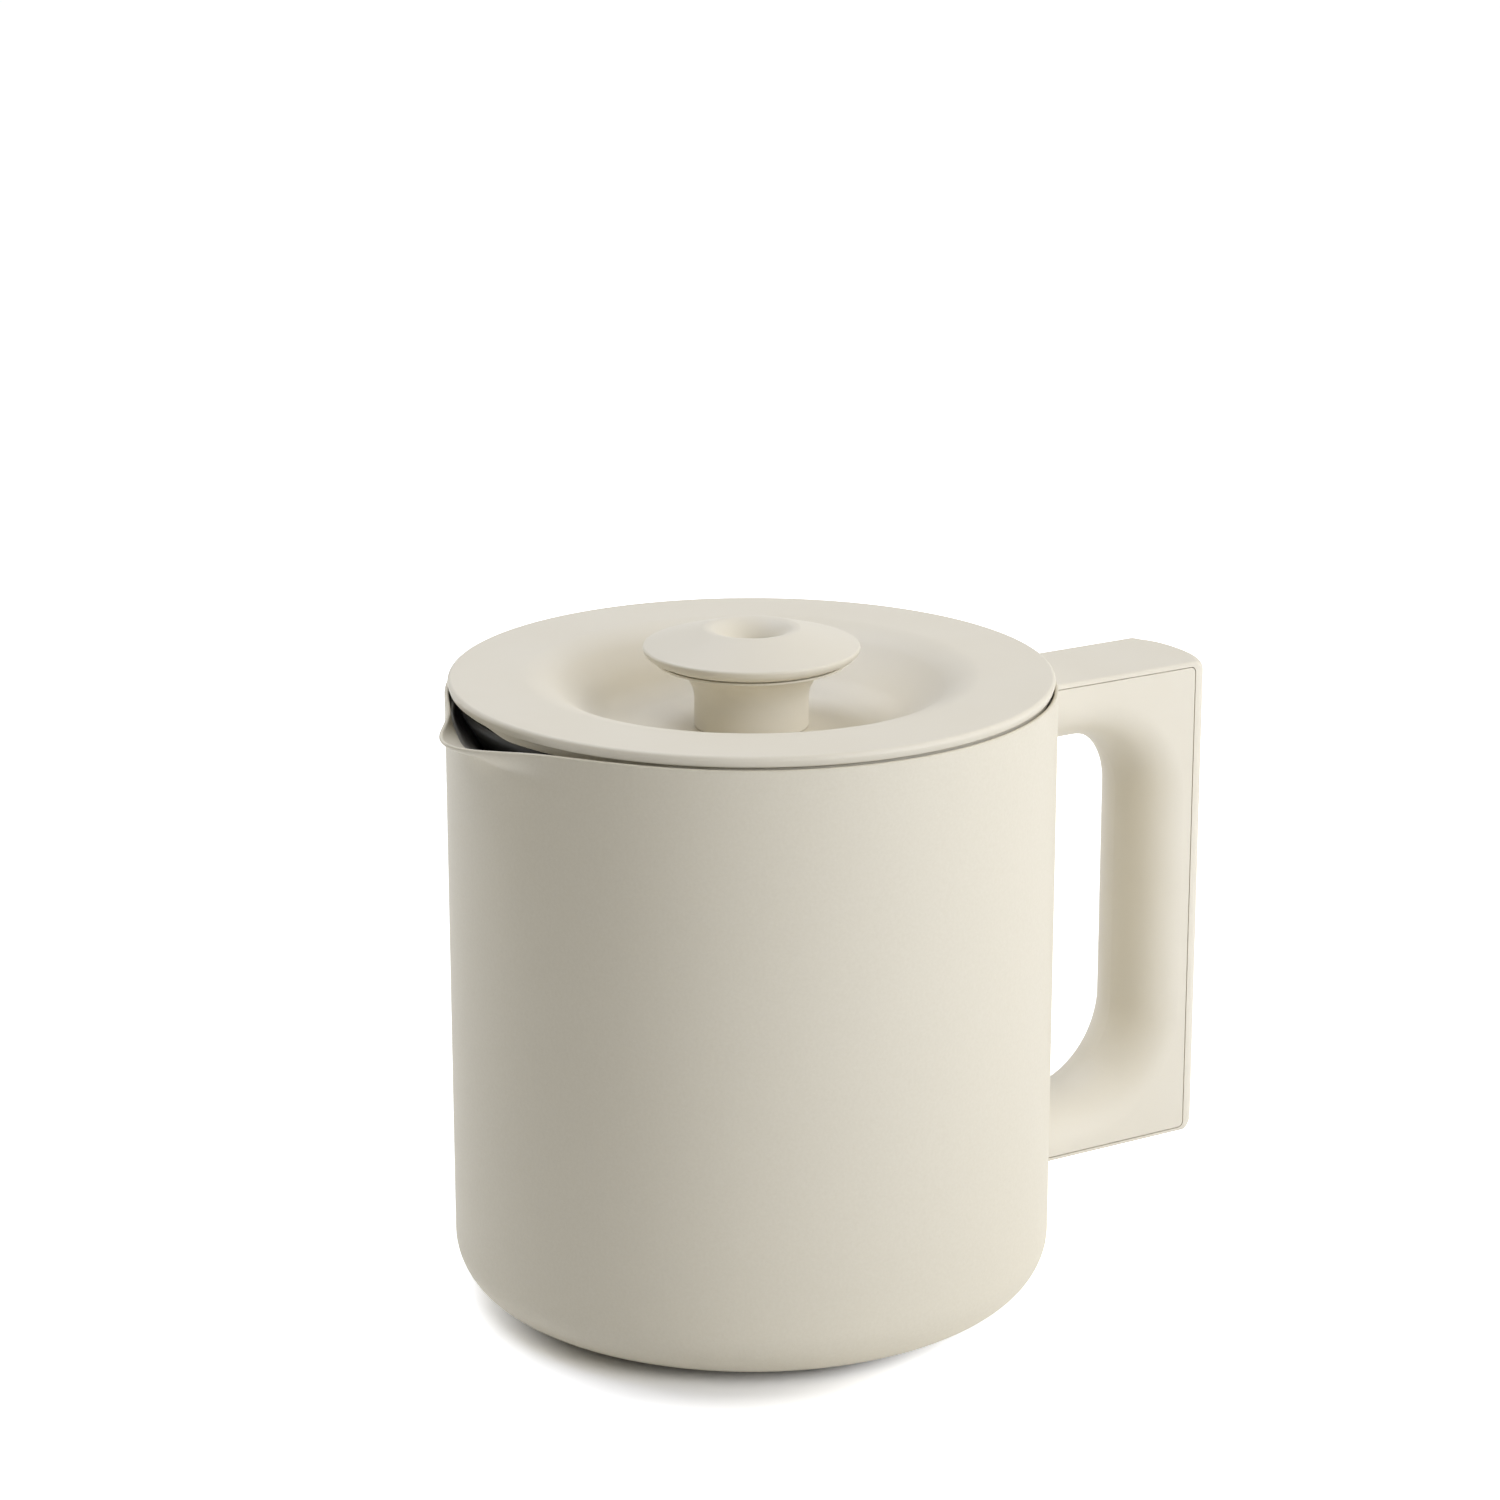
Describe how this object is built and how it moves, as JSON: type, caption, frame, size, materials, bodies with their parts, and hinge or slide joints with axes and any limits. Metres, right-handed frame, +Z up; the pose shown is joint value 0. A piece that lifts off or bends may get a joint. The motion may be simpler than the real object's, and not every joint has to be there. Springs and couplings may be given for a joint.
{
  "type": "thermal carafe",
  "caption": "Round thermal carafe with a pinched pouring lip, a square loop handle and a bowl-shaped lift-off lid with a brew-through knob.",
  "frame": {"origin": "middle of the foot's flat underside, on the table", "axes": "+Z up along the vessel's axis, +X towards the handle, -X towards the pouring lip, +Y to the left of someone who looks along +X; Y = 0 is the plane of symmetry"},
  "size_m": [0.2021, 0.1398, 0.158],
  "materials": {
    "cream_powder_coat": "matte powder coat with a very fine grain",
    "cream_plastic": "satin moulded plastic, colour matched to the coat",
    "steel": "plain stainless sheet, turned inside",
    "grey_silicone": "matte silicone",
    "dark_plastic": "plain dark moulded plastic"
  },
  "bodies": {
    "vessel": {"outer_shell": "cream_powder_coat", "inner_liner": "steel", "base_plate": "steel", "vacuum_seal": "steel", "getter": "steel", "base_foot": "grey_silicone", "handle_grip": "cream_plastic", "handle_cover": "cream_plastic", "handle_bracket_upper": "steel", "handle_bracket_lower": "steel", "handle_screw_upper_inner": "steel", "handle_screw_upper_outer": "steel", "handle_screw_lower_inner": "steel", "handle_screw_lower_outer": "steel"},
    "seal": {"lid_gasket": "grey_silicone"},
    "lid": {"lid_top": "cream_plastic", "lid_trim_ring": "cream_plastic", "lid_base": "dark_plastic", "knob_stem": "cream_plastic", "knob_cap": "cream_plastic", "drip_tube": "dark_plastic", "tube_ring": "grey_silicone", "stem_nut": "dark_plastic"}
  },
  "joints": [
    {"name": "lid_lift", "type": "slide", "parent": "vessel", "child": "seal", "axis": [0, 0, 1], "range_m": [0, 0.08]},
    {"name": "lid_turn", "type": "hinge", "parent": "seal", "child": "lid", "pos_m": [0, 0, 0.1443], "axis": [0, 0, 1], "continuous": true}
  ]
}
